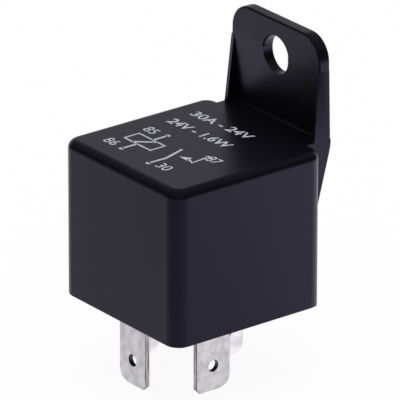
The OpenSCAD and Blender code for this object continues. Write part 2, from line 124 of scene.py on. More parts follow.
def softened(name, node, radius, segments=2, sharpAt=edges["sharp"], leave=None, wide=None, wideRadius=0, ease=None):
    # A CAD node's own shape, with the small radii that a tool or a mould leaves on its edges.
    # Edges where leave is true keep their corner, and edges where wide is true get wideRadius.
    bm = bmesh.new()
    bm.from_mesh(nodes[node].data)
    bmesh.ops.remove_doubles(bm, verts=bm.verts, dist=edges["weld"] * mm)
    bmesh.ops.dissolve_limit(bm, angle_limit=math.radians(edges["plane"]), verts=bm.verts, edges=bm.edges)
    for vertex in bm.verts if ease else ():
        vertex.co = ease(vertex.co)
    for size, chosen in [(wideRadius, wide), (radius, lambda point: not (wide and wide(point)))]:
        sharp = [e for e in bm.edges if size and e.calc_face_angle(0) > math.radians(sharpAt)
                 and chosen((e.verts[0].co + e.verts[1].co) / 2)
                 and not (leave and leave((e.verts[0].co + e.verts[1].co) / 2))]
        bmesh.ops.bevel(bm, geom=sharp, offset=size * mm, segments=segments, profile=0.5,
                        affect="EDGES", clamp_overlap=False)
    low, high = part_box(node)
    for vertex in bm.verts:        # a radius takes material away, so nothing leaves the node's box
        vertex.co = [min(max(value, least), most) for value, least, most in zip(vertex.co, low, high)]
    for face in bm.faces:
        face.smooth = True
    for edge in bm.edges:
        edge.smooth = edge.calc_face_angle(0) < math.radians(edges["crease"])
    mesh = bpy.data.meshes.new(name)
    bm.to_mesh(mesh)
    bm.free()
    obj = addMesh(name, mesh)
    weighted = obj.modifiers.new("even normals", "WEIGHTED_NORMAL")
    weighted.keep_sharp = True
    return obj


def plainMesh(obj, name):          # an object with its modifiers, as one plain mesh
    graph = bpy.context.evaluated_depsgraph_get()
    mesh = bpy.data.meshes.new_from_object(obj.evaluated_get(graph), depsgraph=graph)
    mesh.transform(obj.matrix_world)
    bpy.data.objects.remove(obj)
    return addMesh(name, mesh)


def growthTree(name, inputs):      # a Geometry Nodes tree with named inputs
    tree = bpy.data.node_groups.new(name, "GeometryNodeTree")
    tree.interface.new_socket("Geometry", in_out="INPUT", socket_type="NodeSocketGeometry")
    tree.interface.new_socket("Geometry", in_out="OUTPUT", socket_type="NodeSocketGeometry")
    for label, (kind, value) in inputs.items():
        socket = tree.interface.new_socket(label, in_out="INPUT", socket_type="NodeSocket" + kind)
        if value is not None:
            socket.default_value = value
    return tree, addNode(tree, "NodeGroupInput"), addNode(tree, "NodeGroupOutput")


def grow(obj, tree, values):       # adds the tree to an object, with its inputs set by identifier
    modifier = obj.modifiers.new(tree.name, "NODES")
    modifier.node_group = tree
    for item in tree.interface.items_tree:
        if item.in_out == "INPUT" and item.name in values:
            modifier[item.identifier] = values[item.name]
    return modifier


studio = {
    "azimuth": 52.15, "elevation": 22.76, "roll": 0.09, "distance": 1047, "aim": (-0.24, 1.55, 15.56),
    "lens": 629, "sensor": 36, "clip": (10, 20000),
    "floorZ": -11.25, "floorSize": 380, "floorGlow": 0.93,
    # Painted light and shade on the paper's glow, as the gloss sees it: painted lighter to the right over 60 mm each
    # way, and a little more far out, painted lighter behind a slanting line beside the relay, and a painted shadow of
    # the relay well in front of it
    "floorLeft": 0.71, "floorRight": 1.0, "floorFade": 60,
    "floorFar": 1.22, "farFrom": 90, "farTo": 125,
    "floorBack": 1.5, "backFrom": -3, "backTo": 5, "backTurn": 3.3,
    "floorFront": 0.72, "frontFrom": -60, "frontTo": -20,
    "lampSize": 700, "lampHeight": 750, "lampPower": 1.9,
    "backdropTop": 0.12, "darkFrom": 0.60,         # sines of the elevations where its white ends and dark starts
    "backdropSide": 0.8, "darkSide": 0.5,          # and how far round from straight behind it reaches
    "dark": 0.02, "ceiling": 0.24, "ceilingFrom": 0.42, "ceilingTo": 0.62,     # the room above it, by sine too
    "fill": 0.75,                                  # the plain light of the room on matt surfaces
    "cast": (0.93, 0.92, 1, 1),                    # the faint violet of all that the gloss sees
}


def buildStudio():
    turn, rise = math.radians(studio["azimuth"]), math.radians(studio["elevation"])
    towards = Vector((math.sin(turn) * math.cos(rise), -math.cos(turn) * math.cos(rise), math.sin(rise)))
    lens = bpy.data.cameras.new("camera")
    lens.lens, lens.sensor_width = studio["lens"], studio["sensor"]
    lens.clip_start, lens.clip_end = (distance * mm for distance in studio["clip"])
    camera = bpy.data.objects.new("camera", lens)
    camera.location = (Vector(studio["aim"]) + towards * studio["distance"]) * mm
    level = (-towards).to_track_quat("-Z", "Y").to_matrix()
    camera.rotation_euler = (level @ Matrix.Rotation(math.radians(studio["roll"]), 3, "Z")).to_euler()
    scene.collection.objects.link(camera)
    scene.camera = camera

    lamp = bpy.data.lights.new("overhead softbox", "AREA")
    lamp.size, lamp.energy = studio["lampSize"] * mm, studio["lampPower"]
    overhead = bpy.data.objects.new("overhead softbox", lamp)
    overhead.location = (0, 0, studio["lampHeight"] * mm)
    overhead.visible_glossy = False                # kept out of the gloss, so no glare on the rounded edges
    scene.collection.objects.link(overhead)

    # White to the camera, and for reflections a white sweep behind the relay in a dark room
    world = bpy.data.worlds.new("studio")
    world.use_nodes = True
    tree = world.node_tree
    tree.nodes.clear()
    rays = addNode(tree, "ShaderNodeLightPath")
    direction = addNode(tree, "ShaderNodeTexCoord").outputs["Generated"]
    height = addNode(tree, "ShaderNodeSeparateXYZ", {0: direction}).outputs[2]
    behind = addNode(tree, "ShaderNodeVectorMath", {0: direction, 1: (-math.sin(turn), math.cos(turn), 0)},
                     operation="DOT_PRODUCT").outputs["Value"]
    low = spread(tree, height, 1, 0, studio["backdropTop"], studio["darkFrom"])
    near = spread(tree, behind, 0, 1, studio["darkSide"], studio["backdropSide"])
    paperWall = addNode(tree, "ShaderNodeMath", {0: low, 1: near}, operation="MULTIPLY").outputs[0]
    room = spread(tree, height, studio["dark"], studio["ceiling"], studio["ceilingFrom"], studio["ceilingTo"])
    wall = addNode(tree, "ShaderNodeMath", {0: paperWall, 1: room}, operation="MAXIMUM").outputs[0]
    mirrored = addNode(tree, "ShaderNodeMix", {0: rays.outputs["Is Glossy Ray"], 2: studio["fill"], 3: wall})
    seen = addNode(tree, "ShaderNodeMath", {0: rays.outputs["Is Camera Ray"],
                                            1: rays.outputs["Is Transmission Ray"]}, operation="MAXIMUM")
    strength = addNode(tree, "ShaderNodeMix", {0: seen.outputs[0], 2: mirrored.outputs[0], 3: 1.0})
    shade = addNode(tree, "ShaderNodeMix", {"Factor": rays.outputs["Is Glossy Ray"], 6: (1, 1, 1, 1),
                                            7: studio["cast"]}, data_type="RGBA")
    sky = addNode(tree, "ShaderNodeBackground", {"Color": shade.outputs[2], "Strength": strength.outputs[0]})
    addNode(tree, "ShaderNodeOutputWorld", {"Surface": sky.outputs[0]})
    scene.world = world
    scene.view_settings.view_transform = "Standard"

    # White paper floor, which keeps a faint shadow
    bm = bmesh.new()
    bmesh.ops.create_grid(bm, x_segments=1, y_segments=1, size=studio["floorSize"] * mm / 2)
    bmesh.ops.translate(bm, verts=bm.verts, vec=(0, 0, studio["floorZ"] * mm))
    mesh = bpy.data.meshes.new("floor")
    bm.to_mesh(mesh)
    bm.free()
    floor = addMesh("floor", mesh)
    paper = bpy.data.materials.new("white paper")
    paper.use_nodes = True
    tree = paper.node_tree
    tree.nodes.clear()
    rays = addNode(tree, "ShaderNodeLightPath")
    matt = addNode(tree, "ShaderNodeBsdfDiffuse", {"Color": linear("#f6f6f6")})
    place = addNode(tree, "ShaderNodeTexCoord").outputs["Object"]
    rightwards = addNode(tree, "ShaderNodeVectorMath", {
        0: place, 1: (math.sin(turn), math.cos(turn), 0)}, operation="DOT_PRODUCT").outputs["Value"]
    slant = turn + math.radians(studio["backTurn"])
    backwards = addNode(tree, "ShaderNodeVectorMath", {
        0: place, 1: (-math.cos(slant), math.sin(slant), 0)}, operation="DOT_PRODUCT").outputs["Value"]
    # Painted light and shade for the gloss: the paper's glow is painted lighter to the right, far out and behind the
    # relay, and darker in front of it as a painted shadow of the relay
    paintedSideLight = spread(tree, rightwards, studio["floorLeft"], studio["floorRight"],
                       -studio["floorFade"] * mm, studio["floorFade"] * mm)
    paintedBackLight = spread(tree, backwards, 1.0, studio["floorBack"], studio["backFrom"] * mm, studio["backTo"] * mm)
    paintedFrontShadow = spread(tree, backwards, studio["floorFront"], 1.0, studio["frontFrom"] * mm, studio["frontTo"] * mm)
    paintedFarLight = spread(tree, rightwards, 1.0, studio["floorFar"], studio["farFrom"] * mm, studio["farTo"] * mm)
    paintedFloorLight = paintedSideLight
    for factor in (paintedBackLight, paintedFrontShadow, paintedFarLight):
        paintedFloorLight = addNode(tree, "ShaderNodeMath", {0: paintedFloorLight, 1: factor}, operation="MULTIPLY").outputs[0]
    glow = addNode(tree, "ShaderNodeMix", {0: rays.outputs["Is Camera Ray"], 2: paintedFloorLight, 3: 1.0}).outputs[0]
    tone = addNode(tree, "ShaderNodeMix", {"Factor": rays.outputs["Is Glossy Ray"], 6: (1, 1, 1, 1),
                                           7: studio["cast"]}, data_type="RGBA")
    white = addNode(tree, "ShaderNodeEmission", {"Color": tone.outputs[2], "Strength": glow})
    shown = addNode(tree, "ShaderNodeMath", {0: rays.outputs["Is Camera Ray"],
                                             1: rays.outputs["Is Glossy Ray"]}, operation="MAXIMUM")
    part = addNode(tree, "ShaderNodeMath", {0: shown.outputs[0], 1: studio["floorGlow"]}, operation="MULTIPLY")
    mixed = addNode(tree, "ShaderNodeMixShader", {0: part.outputs[0], 1: matt.outputs[0], 2: white.outputs[0]})
    addNode(tree, "ShaderNodeOutputMaterial", {"Surface": mixed.outputs[0]})
    floor.data.materials.append(paper)


buildStudio()
print("studio ready")


def mouldedPbt(name, dark, light, roughness, grain):
    # Glass-filled PBT from a spark-eroded mould: near black, with a fine matt grain in its gloss.
    material, tree, surface, place = newMaterial(name)
    flow = speckle(tree, place, 9, 2)                    # faint flow marks, about 9 mm across
    pits = speckle(tree, place, 0.35, 2)                 # real grain is 0.05 mm, drawn coarser so that it shows
    tree.links.new(blendColour(tree, flow, linear(dark), linear(light)), surface.inputs["Base Color"])
    tree.links.new(spread(tree, pits, roughness - 0.03, roughness + 0.03), surface.inputs["Roughness"])
    tree.links.new(bumpFrom(tree, pits, grain), surface.inputs["Normal"])
    surface.inputs["IOR"].default_value = 1.5
    surface.inputs["Specular IOR Level"].default_value = 0.32
    surface.inputs["Specular Tint"].default_value = (0.67, 0.62, 1, 1)
    return material


def tinnedBrass():
    # Brass strip dipped in tin: soft silver gloss, rolled along its length, with grey stains.
    material, tree, surface, place = newMaterial("tinnedBrass")
    stain = speckle(tree, place, 1.6, 5)
    rolled = speckle(tree, place, 0.14, 2, (1, 1, 0.08))     # rolling lines 0.1 mm apart, along the blade
    pock = speckle(tree, place, 0.22, 2)
    clean = blendColour(tree, spread(tree, stain, 0, 1, 0.36, 0.6), linear("#d3d0cf"), linear("#eae8e6"))
    base = blendColour(tree, spread(tree, pock, 0.5, 0, 0.24, 0.36), clean, linear("#6f6a6c"))   # grey pinholes
    tree.links.new(base, surface.inputs["Base Color"])
    tree.links.new(spread(tree, stain, 0.38, 0.27), surface.inputs["Roughness"])
    tree.links.new(bumpFrom(tree, pock, 0.004, 1.0, bumpFrom(tree, rolled, 0.004)), surface.inputs["Normal"])
    surface.inputs["Metallic"].default_value = 1
    return material


def shearedBrass(name, dark, light):
    # The blades' punched edges: bright shear above and torn grey metal below, in fine lines.
    material, tree, surface, place = newMaterial(name)
    lines = speckle(tree, place, 0.16, 3, (1, 1, 0.05))      # drawn coarser than the real 0.05 mm lines
    base = blendColour(tree, spread(tree, lines, 0, 1, 0.38, 0.62), linear(dark), linear(light))
    tree.links.new(base, surface.inputs["Base Color"])
    tree.links.new(bumpFrom(tree, lines, 0.02), surface.inputs["Normal"])
    surface.inputs["Metallic"].default_value = 1
    surface.inputs["Roughness"].default_value = 0.42
    return material


def platedMetal(name, dark, light, roughness, grainSize, stretch=(1, 1, 1), depth=0.004):
    # Plated or rolled metal: patches of slightly different tone, and the lines of its making.
    material, tree, surface, place = newMaterial(name)
    patches = speckle(tree, place, 1.6, 4)
    grain = speckle(tree, place, grainSize, 2, stretch)
    base = blendColour(tree, spread(tree, patches, 0, 1), linear(dark), linear(light))
    tree.links.new(base, surface.inputs["Base Color"])
    tree.links.new(spread(tree, grain, roughness - 0.06, roughness + 0.06), surface.inputs["Roughness"])
    tree.links.new(bumpFrom(tree, grain, depth), surface.inputs["Normal"])
    surface.inputs["Metallic"].default_value = 1
    return material


def naturalNylon():
    # Unfilled nylon 66: ivory, a little translucent, smooth from a polished mould.
    material, tree, surface, place = newMaterial("naturalNylon")
    cloud = speckle(tree, place, 4, 2)
    skin = speckle(tree, place, 0.3, 2)
    tree.links.new(blendColour(tree, cloud, linear("#ddd5bf"), linear("#ece6d5")), surface.inputs["Base Color"])
    tree.links.new(bumpFrom(tree, skin, 0.002), surface.inputs["Normal"])
    surface.inputs["Roughness"].default_value = 0.36
    surface.inputs["IOR"].default_value = 1.53
    surface.inputs["Subsurface Weight"].default_value = 0.25
    surface.inputs["Subsurface Scale"].default_value = 0.0008
    return material


def enamelledCopper():
    # Copper wire in clear polyurethane enamel: warm metal under a thin glossy coat.
    material, tree, surface, place = newMaterial("enamelledCopper")
    tone = speckle(tree, place, 0.6, 3)
    base = blendColour(tree, spread(tree, tone, 0, 1), linear("#8f3f1c"), linear("#c46a3a"))
    tree.links.new(base, surface.inputs["Base Color"])
    tree.links.new(bumpFrom(tree, tone, 0.003), surface.inputs["Normal"])
    surface.inputs["Metallic"].default_value = 0.85
    surface.inputs["Roughness"].default_value = 0.32
    surface.inputs["Coat Weight"].default_value = 0.7
    surface.inputs["Coat Roughness"].default_value = 0.12
    return material


def polyesterTape():
    # Amber polyester tape: thin glossy film that shows the wire's ridges under it.
    material, tree, surface, place = newMaterial("polyesterTape")
    height = addNode(tree, "ShaderNodeSeparateXYZ", {0: place}).outputs[2]
    turns = addNode(tree, "ShaderNodeMath", {0: height, 1: 2 * math.pi / (0.3 * mm)}, operation="MULTIPLY")
    ridges = addNode(tree, "ShaderNodeMath", {0: turns.outputs[0]}, operation="SINE").outputs[0]
    wrinkle = speckle(tree, place, 1.2, 3)
    base = blendColour(tree, wrinkle, linear("#b9851e"), linear("#dcae45"))
    tree.links.new(base, surface.inputs["Base Color"])
    tree.links.new(bumpFrom(tree, ridges, 0.01, 0.6, bumpFrom(tree, wrinkle, 0.02)), surface.inputs["Normal"])
    surface.inputs["Roughness"].default_value = 0.22
    surface.inputs["IOR"].default_value = 1.6
    return material


def padInk():
    # Pad-printed white ink, thin enough for the black to grey it, with pinholes.
    material, tree, surface, place = newMaterial("padPrintedInk")
    thin = speckle(tree, place, 0.25, 3)
    base = blendColour(tree, spread(tree, thin, 0, 1, 0.38, 0.52), linear("#9a9aa5"), linear("#c9c9d4"))
    tree.links.new(base, surface.inputs["Base Color"])
    tree.links.new(bumpFrom(tree, thin, 0.006), surface.inputs["Normal"])
    surface.inputs["Roughness"].default_value = 0.55
    surface.inputs["Specular IOR Level"].default_value = 0.2
    return material


coverPlastic = mouldedPbt("mouldedPbtBlack", "#08080d", "#0d0d14", 0.33, 0.012)
basePlastic = mouldedPbt("mouldedPbtBase", "#0c0c0f", "#131317", 0.38, 0.008)
tin = tinnedBrass()
shearedEdge = shearedBrass("shearedBrass", "#8b8482", "#e4e0de")
# The hole's wall: punched brass painted darker, as painted shade inside the hole
holeWallShade = shearedBrass("punchedBrassPaintedShade", "#2b2828", "#6b6463")
wornEdge = shearedBrass("wornTinEdge", "#4a4545", "#bdb8b8")
zincIron = platedMetal("zincPlatedIron", "#8f9296", "#b4b7ba", 0.34, 0.25)
turnedIron = platedMetal("turnedSoftIron", "#8c8f94", "#adb0b4", 0.26, 0.15)
drawnSteel = platedMetal("headedSteelRivet", "#9b9da2", "#bcbec2", 0.3, 0.2)
contactSilver = platedMetal("silverTinOxide", "#cfcfd2", "#ececee", 0.34, 0.3)
rolledBronze = platedMetal("rolledPhosphorBronze", "#a8743f", "#cf9f62", 0.27, 0.12, (1, 0.08, 0.08), 0.003)
meltedSolder = platedMetal("leadFreeSolder", "#a9acb2", "#d0d2d6", 0.2, 0.8, (1, 1, 1), 0.03)
nylon = naturalNylon()
copper = enamelledCopper()
tape = polyesterTape()
ink = padInk()
print("materials ready")


housing = {
    "coverEdge": 0.22, "tabEdge": 0.3, "baseEdge": 0.15, "nylonEdge": 0.12, "ironEdge": 0.12,
    "roofZ": 25.1, "roofEdge": 1.3, "roofEase": 1.4, "corner": 2.4,
    "rootDepth": 1.4, "rootTop": 25.4, "gussetTop": 36.2, "skin": 0.2,   # where the tab's root and gussets end
    "holeHalf": 6, "rimTop": 40,                                         # a box that clears the tab's hole
}
coverLow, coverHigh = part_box("cover")
wallBack = -coverLow.y             # the body is square, so its back wall is as far out as its front


def coverCrisp(point):             # the tab's root, its gussets and the ribs keep their own crisp edges
    if point.y <= wallBack - housing["rootDepth"] * mm or point.z >= housing["gussetTop"] * mm:
        return False
    return point.z <= housing["rootTop"] * mm or point.y <= coverHigh.y - housing["skin"] * mm


def tabRim(point):                 # the tab's outer edge above its gussets, but not its hole
    return point.z > housing["gussetTop"] * mm and (
        abs(point.x) > housing["holeHalf"] * mm or point.z > housing["rimTop"] * mm)


def easedRoof(point):              # the round of the roof's edge drawn out, as a worn mould leaves it
    edge, eased, corner, top = (housing[key] * mm for key in ("roofEdge", "roofEase", "corner", "roofZ"))
    foot, tiny = top - edge, 0.005 * mm
    if point.z < foot - tiny or point.z > top + tiny or max(abs(point.x), abs(point.y)) > wallBack + tiny:
        return point
    out = Vector((abs(point.x), abs(point.y)))
    centre = wallBack - corner
    if min(out) > centre:                            # round the corner's own axis
        ray = out - Vector((centre, centre))
        inset, heading = corner - ray.length, ray.normalized()
    else:
        inset, heading = wallBack - max(out), Vector((1, 0)) if out.x > out.y else Vector((0, 1))
    if inset > edge + tiny:
        return point
    out -= heading * (eased - edge) * inset / edge
    drop = (eased - edge) * (1 - (point.z - foot) / edge)
    return Vector((math.copysign(out.x, point.x), math.copysign(out.y, point.y), point.z - drop))


coverShell = softened("coverShell", "cover", housing["coverEdge"], 4, leave=coverCrisp,
                      wide=tabRim, wideRadius=housing["tabEdge"], ease=easedRoof)
finishPiece(coverShell, coverPlastic, "housing", ["cover"])
baseBlock = softened("baseBlock", "base", housing["baseEdge"])
finishPiece(baseBlock, basePlastic, "housing", ["base"])
coilFormer = softened("coilFormer", "bobbin", housing["nylonEdge"])
finishPiece(coilFormer, nylon, "housing", ["bobbin"])
yokeFrame = softened("yokeFrame", "yoke", housing["ironEdge"])
finishPiece(yokeFrame, zincIron, "housing", ["yoke"])
armaturePlate = softened("armaturePlate", "armature", housing["ironEdge"])
finishPiece(armaturePlate, zincIron, "armature", ["armature"])
for node, material in [("core", turnedIron), ("coil_tape", tape), ("coil_lead_85", copper),
                       ("coil_lead_86", copper), ("solder_joint_85", meltedSolder),
                       ("solder_joint_86", meltedSolder), ("fixed_contact", contactSilver),
                       ("moving_contact", contactSilver)]:
    nodes[node].data.materials.clear()
    nodes[node].data.materials.append(material)
print("housing ready")


# Terminals: tinned faces and sheared edges
blades = {"edge": 0.08, "sharpAt": 12, "holeUp": 4.1, "holeReach": 1.1, "broad": 0.95, "upright": 0.3}


def bladePiece(name, node, acrossX):
    piece = softened(name, node, blades["edge"], sharpAt=blades["sharpAt"])
    finishPiece(piece, tin, "housing", [node])
    for finish in (shearedEdge, holeWallShade, wornEdge):
        piece.data.materials.append(finish)
    side = 0 if acrossX else 1                       # the axis across the blade's width
    across = [v.co[side] for v in piece.data.vertices if v.co.z < 0]
    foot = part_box(node)[0].z
    hole = Vector(((min(across) + max(across)) / 2, foot + blades["holeUp"] * mm))
    for face in piece.data.polygons:
        flat = abs(face.normal[1 - side])            # 1 on the broad faces, 0 on the edges
        if face.center.z > 0 or flat > blades["broad"]:
            continue
        away = (Vector((face.center[side], face.center.z)) - hole).length
        if away < blades["holeReach"] * mm:
            # the hole's wall takes the darker punched brass, as painted shade inside the hole
            face.material_index = 2                  # the hole's wall
        else:
            face.material_index = 1 if flat < blades["upright"] else 3


bladePiece("blade87", "terminal_87", True)
for number in (30, 85, 86):
    bladePiece(f"blade{number}", f"terminal_{number}", False)
print("terminals ready")


# Coil: every turn of its outer layer of wire
coil = {"wire": 0.15, "pitch": 0.3, "sides": 8, "stepsPerTurn": 64, "sleeveSteps": 96}


def windingTree():
    tree, given, made = growthTree("wound wire", {
        "Radius": ("Float", None), "Inner Radius": ("Float", None), "Height": ("Float", None),
        "Wire Radius": ("Float", None), "Turns": ("Float", None), "Steps": ("Int", None),
        "Sides": ("Int", None), "Material": ("Material", None)})
    pipe = given.outputs
    wireMiddle = addNode(tree, "ShaderNodeMath", {0: pipe["Radius"], 1: pipe["Wire Radius"]}, operation="SUBTRACT")
    twoWires = addNode(tree, "ShaderNodeMath", {0: pipe["Wire Radius"], 1: 2.0}, operation="MULTIPLY")
    rise = addNode(tree, "ShaderNodeMath", {0: pipe["Height"], 1: twoWires.outputs[0]}, operation="SUBTRACT")
    helix = addNode(tree, "GeometryNodeCurveSpiral", {
        "Resolution": pipe["Steps"], "Rotations": pipe["Turns"], "Start Radius": wireMiddle.outputs[0],
        "End Radius": wireMiddle.outputs[0], "Height": rise.outputs[0]})
    wireSection = addNode(tree, "GeometryNodeCurvePrimitiveCircle", {
        "Resolution": pipe["Sides"], "Radius": pipe["Wire Radius"]})
    wire = addNode(tree, "GeometryNodeCurveToMesh", {
        "Curve": helix.outputs[0], "Profile Curve": wireSection.outputs[0], "Fill Caps": True})
    lift = addNode(tree, "ShaderNodeCombineXYZ", {2: pipe["Wire Radius"]})
    wireUp = addNode(tree, "GeometryNodeTransform", {"Geometry": wire.outputs[0], "Translation": lift.outputs[0]})
    # The layers under the last one, as a solid sleeve
    bothRadii = addNode(tree, "ShaderNodeMath", {0: wireMiddle.outputs[0], 1: pipe["Inner Radius"]})
    ringRadius = addNode(tree, "ShaderNodeMath", {0: bothRadii.outputs[0], 1: 0.5}, operation="MULTIPLY")
    wide = addNode(tree, "ShaderNodeMath", {0: wireMiddle.outputs[0], 1: pipe["Inner Radius"]}, operation="SUBTRACT")
    ring = addNode(tree, "GeometryNodeCurvePrimitiveCircle", {
        "Resolution": coil["sleeveSteps"], "Radius": ringRadius.outputs[0]})
    section = addNode(tree, "GeometryNodeCurvePrimitiveQuadrilateral", {
        "Width": wide.outputs[0], "Height": pipe["Height"]})
    sleeve = addNode(tree, "GeometryNodeCurveToMesh", {"Curve": ring.outputs[0], "Profile Curve": section.outputs[0]})
    half = addNode(tree, "ShaderNodeMath", {0: pipe["Height"], 1: 0.5}, operation="MULTIPLY")
    middle = addNode(tree, "ShaderNodeCombineXYZ", {2: half.outputs[0]})
    sleeveUp = addNode(tree, "GeometryNodeTransform", {
        "Geometry": sleeve.outputs[0], "Translation": middle.outputs[0]})
    both = addNode(tree, "GeometryNodeJoinGeometry")
    tree.links.new(wireUp.outputs[0], both.inputs[0])
    tree.links.new(sleeveUp.outputs[0], both.inputs[0])
    solid = addNode(tree, "GeometryNodeRealizeInstances", {0: both.outputs[0]})
    painted = addNode(tree, "GeometryNodeSetMaterial", {"Geometry": solid.outputs[0], "Material": pipe["Material"]})
    tree.links.new(painted.outputs[0], made.inputs[0])
    return tree


low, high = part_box("coil_winding")
axis = (low + high) / 2
tube = min((v.co - axis).to_2d().length for v in nodes["coil_winding"].data.vertices)
height = high.z - low.z
turns = round((height - 2 * coil["wire"] * mm) / (coil["pitch"] * mm))
holder = addMesh("winding seed", bpy.data.meshes.new("winding seed"))
grow(holder, windingTree(), {
    "Radius": (high.x - low.x) / 2, "Inner Radius": tube, "Height": height, "Wire Radius": coil["wire"] * mm,
    "Turns": float(turns), "Steps": coil["stepsPerTurn"], "Sides": coil["sides"], "Material": copper})
wound = plainMesh(holder, "woundWire")
wound.data.transform(Matrix.Translation((axis.x, axis.y, low.z)))
finishPiece(wound, copper, "housing", ["coil_winding"])
print("coil ready:", turns, "turns,", len(wound.data.polygons), "faces")


# Rivets: pins with domed heads. The armature's stand at its tilt at rest.
rivets = {"shank": 0.6, "head": 1.2, "headRise": 0.5, "rim": 0.15, "around": 32, "rings": 6, "tilt": 2.5}


def rivetTree():
    tree, given, made = growthTree("domed rivets", {
        "Count": ("Int", 2), "Spacing": ("Vector", None), "Shank Radius": ("Float", None),
        "Shank Length": ("Float", None), "Head Radius": ("Float", None), "Head Rise": ("Float", None),
        "Rim": ("Float", None), "Around": ("Int", 32), "Rings": ("Int", 6), "Material": ("Material", None)})
    pipe = given.outputs
    shank = addNode(tree, "GeometryNodeMeshCylinder", {
        "Vertices": pipe["Around"], "Radius": pipe["Shank Radius"], "Depth": pipe["Shank Length"]})
    down = addNode(tree, "ShaderNodeMath", {0: pipe["Shank Length"], 1: -0.5}, operation="MULTIPLY")
    shankPlace = addNode(tree, "ShaderNodeCombineXYZ", {2: down.outputs[0]})
    shankDown = addNode(tree, "GeometryNodeTransform", {
        "Geometry": shank.outputs[0], "Translation": shankPlace.outputs[0]})
    head = addNode(tree, "GeometryNodeMeshCylinder", {
        "Vertices": pipe["Around"], "Fill Segments": pipe["Rings"], "Radius": pipe["Head Radius"],
        "Depth": pipe["Rim"]})
    halfRim = addNode(tree, "ShaderNodeMath", {0: pipe["Rim"], 1: 0.5}, operation="MULTIPLY")
    headPlace = addNode(tree, "ShaderNodeCombineXYZ", {2: halfRim.outputs[0]})
    headUp = addNode(tree, "GeometryNodeTransform", {
        "Geometry": head.outputs[0], "Translation": headPlace.outputs[0]})
    # The top face rises as a shallow dome: rise * (1 - (r / R)^2)
    where = addNode(tree, "GeometryNodeInputPosition")
    parts = addNode(tree, "ShaderNodeSeparateXYZ", {0: where.outputs[0]})
    flat = addNode(tree, "ShaderNodeCombineXYZ", {0: parts.outputs[0], 1: parts.outputs[1]})
    reach = addNode(tree, "ShaderNodeVectorMath", {0: flat.outputs[0]}, operation="LENGTH")
    share = addNode(tree, "ShaderNodeMath", {0: reach.outputs["Value"], 1: pipe["Head Radius"]}, operation="DIVIDE")
    squared = addNode(tree, "ShaderNodeMath", {0: share.outputs[0], 1: 2.0}, operation="POWER")
    fall = addNode(tree, "ShaderNodeMath", {0: 1.0, 1: squared.outputs[0]}, operation="SUBTRACT")
    domeRise = addNode(tree, "ShaderNodeMath", {0: pipe["Head Rise"], 1: pipe["Rim"]}, operation="SUBTRACT")
    rise = addNode(tree, "ShaderNodeMath", {0: fall.outputs[0], 1: domeRise.outputs[0]}, operation="MULTIPLY")
    upwards = addNode(tree, "ShaderNodeCombineXYZ", {2: rise.outputs[0]})
    onTop = addNode(tree, "ShaderNodeMath", {0: parts.outputs[2], 1: halfRim.outputs[0]}, operation="GREATER_THAN")
    domed = addNode(tree, "GeometryNodeSetPosition", {
        "Geometry": headUp.outputs[0], "Selection": onTop.outputs[0], "Offset": upwards.outputs[0]})
    rivet = addNode(tree, "GeometryNodeJoinGeometry")
    tree.links.new(shankDown.outputs[0], rivet.inputs[0])
    tree.links.new(domed.outputs[0], rivet.inputs[0])
    row = addNode(tree, "GeometryNodeMeshLine", {"Count": pipe["Count"], "Offset": pipe["Spacing"]})
    placed = addNode(tree, "GeometryNodeInstanceOnPoints", {"Points": row.outputs[0], "Instance": rivet.outputs[0]})
    solid = addNode(tree, "GeometryNodeRealizeInstances", {0: placed.outputs[0]})
    painted = addNode(tree, "GeometryNodeSetMaterial", {"Geometry": solid.outputs[0], "Material": pipe["Material"]})
    tree.links.new(painted.outputs[0], made.inputs[0])
    return tree


riveted = rivetTree()


def rivetRow(name, node, body, outwards, along):
    # Two rivets whose heads point along outwards, fitted to the CAD node's points in the frame that they stand in.
    turn = Vector(outwards).normalized().to_track_quat("Z", "Y").to_matrix()
    points = [turn.transposed() @ v.co for v in nodes[node].data.vertices]
    least = Vector([min(p[i] for p in points) for i in range(3)])
    most = Vector([max(p[i] for p in points) for i in range(3)])
    row = turn.transposed() @ Vector(along)
    span = most - least - Vector((1, 1, 1)) * 2 * rivets["head"] * mm
    gap = Vector((span.x * abs(row.x), span.y * abs(row.y), 0))
    headFoot = most.z - rivets["headRise"] * mm
    holder = addMesh("rivet seed", bpy.data.meshes.new("rivet seed"))
    grow(holder, riveted, {
        "Count": 2, "Spacing": gap[:], "Shank Radius": rivets["shank"] * mm,
        "Shank Length": headFoot - least.z, "Head Radius": rivets["head"] * mm,
        "Head Rise": rivets["headRise"] * mm, "Rim": rivets["rim"] * mm, "Around": rivets["around"],
        "Rings": rivets["rings"], "Material": drawnSteel})
    piece = plainMesh(holder, name)
    first = (least + most - gap) / 2
    piece.data.transform(Matrix.Translation((first.x, first.y, headFoot)))
    piece.data.transform(turn.to_4x4())
    for face in piece.data.polygons:
        face.use_smooth = True
    finishPiece(piece, drawnSteel, body, [node])


tilt = math.radians(rivets["tilt"])
rivetRow("terminalRivets", "terminal_rivets", "housing", (0, 0, -1), (0, 1, 0))
rivetRow("springRivets", "spring_rivets", "housing", (0, 1, 0), (1, 0, 0))
rivetRow("armatureRivets", "armature_rivets", "armature", (0, math.sin(tilt), math.cos(tilt)), (1, 0, 0))
print("rivets ready")


# Contact spring, which bends over the yoke's edge, from below the bend to above it
spring = {"edge": 0.04, "bendFrom": (0, 10.95, 15.9), "bendTo": (0, 10.6, 20.3)}
leafSpring = softened("leafSpring", "contact_spring", spring["edge"])
leafSpring.data.materials.append(rolledBronze)
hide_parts("contact_spring")
leafSpring.modifiers.clear()       # it is kept as a plain mesh
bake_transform(leafSpring)
print("spring ready")


